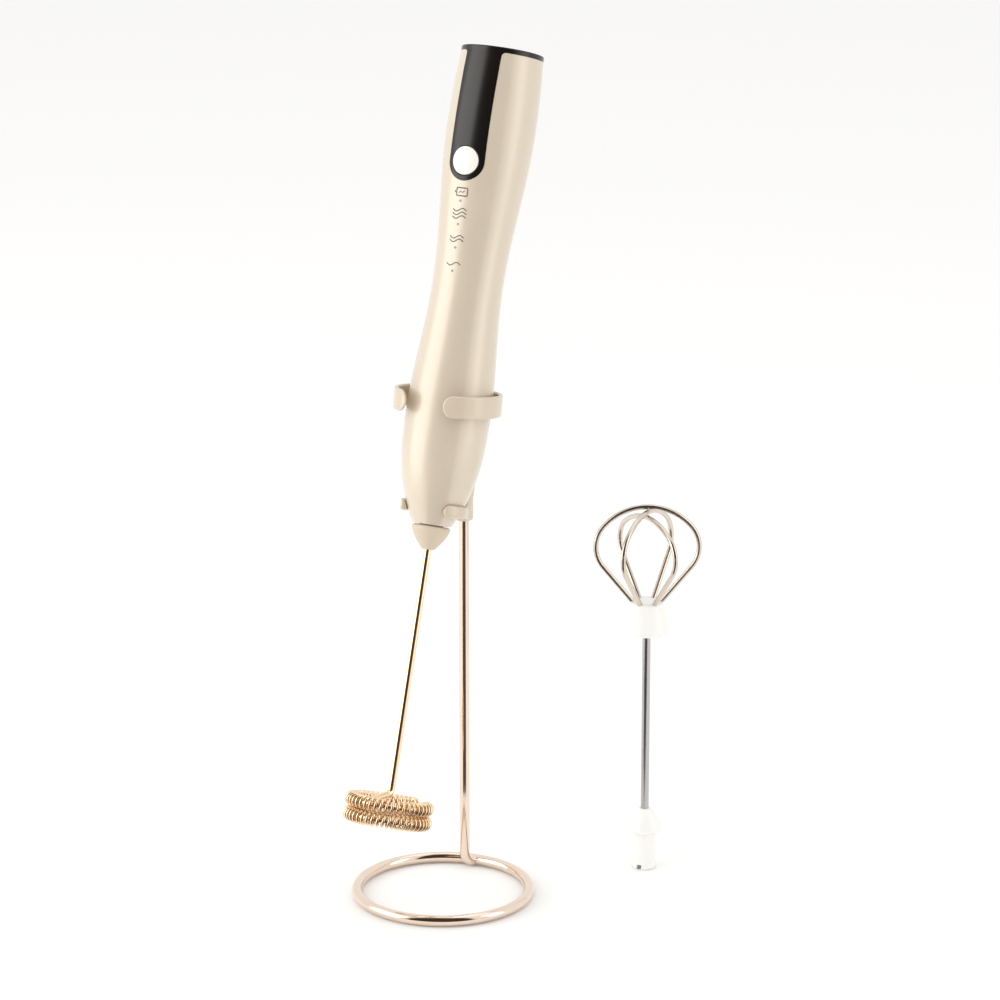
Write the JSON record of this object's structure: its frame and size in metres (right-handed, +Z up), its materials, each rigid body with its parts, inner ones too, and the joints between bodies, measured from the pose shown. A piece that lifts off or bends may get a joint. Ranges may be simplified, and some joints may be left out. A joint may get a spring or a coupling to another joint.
{
  "type": "milk frother",
  "caption": "Cordless milk frother with a spring whisk, leaning in a wire ring stand with a two-ring holder, and a balloon whisk standing beside it.",
  "frame": {"origin": "middle of the stand's base ring, on the table", "axes": "+Z up, -Y towards the button side that the handle's holder opens to, +X to the right of someone facing the button"},
  "size_m": [0.094, 0.1153, 0.2825],
  "materials": {
    "housing_plastic": "pearl, satin gloss",
    "panel_black": "high gloss",
    "button_plastic": "satin",
    "holder_plastic": "satin",
    "stand_wire": "polished, champagne tint",
    "whisk_wire": "polished, pale gold tint",
    "hub_plastic": "satin",
    "egg_wire": "polished",
    "egg_plastic": "satin",
    "shaft_steel": "ground",
    "frame_plastic": "moulded",
    "light_plastic": "milky",
    "board_laminate": "solder mask",
    "led_resin": "moulded",
    "switch_plastic": "moulded",
    "plated_metal": "plated",
    "cell_wrap": "shrink film",
    "nickel_strip": "rolled",
    "motor_steel": "plated",
    "ferrite": "sintered",
    "bronze": "sintered",
    "copper": "enamelled",
    "lead_red_pvc": "insulation",
    "lead_black_pvc": "insulation",
    "seal_rubber": "moulded",
    "nylon": "moulded"
  },
  "bodies": {
    "stand": {"base_ring": "stand_wire", "stand_rod": "stand_wire", "holder": "holder_plastic"},
    "handle": {"housing": "housing_plastic", "panel_cap": "panel_black", "light_guide": "light_plastic", "inner_frame": "frame_plastic", "control_board": "board_laminate", "led_1": "led_resin", "led_2": "led_resin", "led_3": "led_resin", "led_4": "led_resin", "tact_switch": "plated_metal", "usb_socket": "plated_metal", "board_screw_1": "plated_metal", "board_screw_2": "plated_metal", "battery_cell": "cell_wrap", "battery_tab_low": "nickel_strip", "battery_tab_high": "nickel_strip", "motor_can": "motor_steel", "magnet_left": "ferrite", "magnet_right": "ferrite", "front_bearing": "bronze", "end_bell": "nylon", "rear_bearing": "bronze", "brush_left": "copper", "brush_right": "copper", "lead_red": "lead_red_pvc", "lead_black": "lead_black_pvc", "shaft_seal": "seal_rubber"},
    "button": {"power_button": "button_plastic", "switch_plunger": "switch_plastic"},
    "drive": {"motor_shaft": "shaft_steel", "armature_core": "motor_steel", "armature_coil_1": "copper", "armature_coil_2": "copper", "armature_coil_3": "copper", "commutator": "copper", "drive_dog": "nylon"},
    "whisk": {"whisk_hub": "hub_plastic", "whisk_shaft": "whisk_wire", "whisk_core": "whisk_wire", "whisk_spring": "whisk_wire"},
    "egg_whisk": {"egg_hub": "egg_plastic", "egg_shaft": "shaft_steel", "egg_collar": "egg_plastic", "egg_loop_1": "egg_wire", "egg_loop_2": "egg_wire", "egg_loop_3": "egg_wire"}
  },
  "joints": [
    {"name": "frother_lift", "type": "slide", "parent": "stand", "child": "handle", "axis": [0, 0.3024, 0.9532], "range_m": [0, 0.085]},
    {"name": "button_press", "type": "slide", "parent": "handle", "child": "button", "axis": [0, 0.9532, -0.3024], "range_m": [0, 0.0005], "stiffness_N_per_m": 300, "springref_m": -0.0005},
    {"name": "whisk_spin", "type": "hinge", "parent": "handle", "child": "drive", "pos_m": [-0.0056, 0.003, 0.1282], "axis": [0, 0.3024, 0.9532], "continuous": true},
    {"name": "whisk_pull", "type": "slide", "parent": "drive", "child": "whisk", "axis": [0, -0.3024, -0.9532], "range_m": [0, 0.02]},
    {"name": "egg_whisk_lift", "type": "slide", "parent": "stand", "child": "egg_whisk", "axis": [0, 0, 1], "range_m": [0, 0.1]}
  ]
}
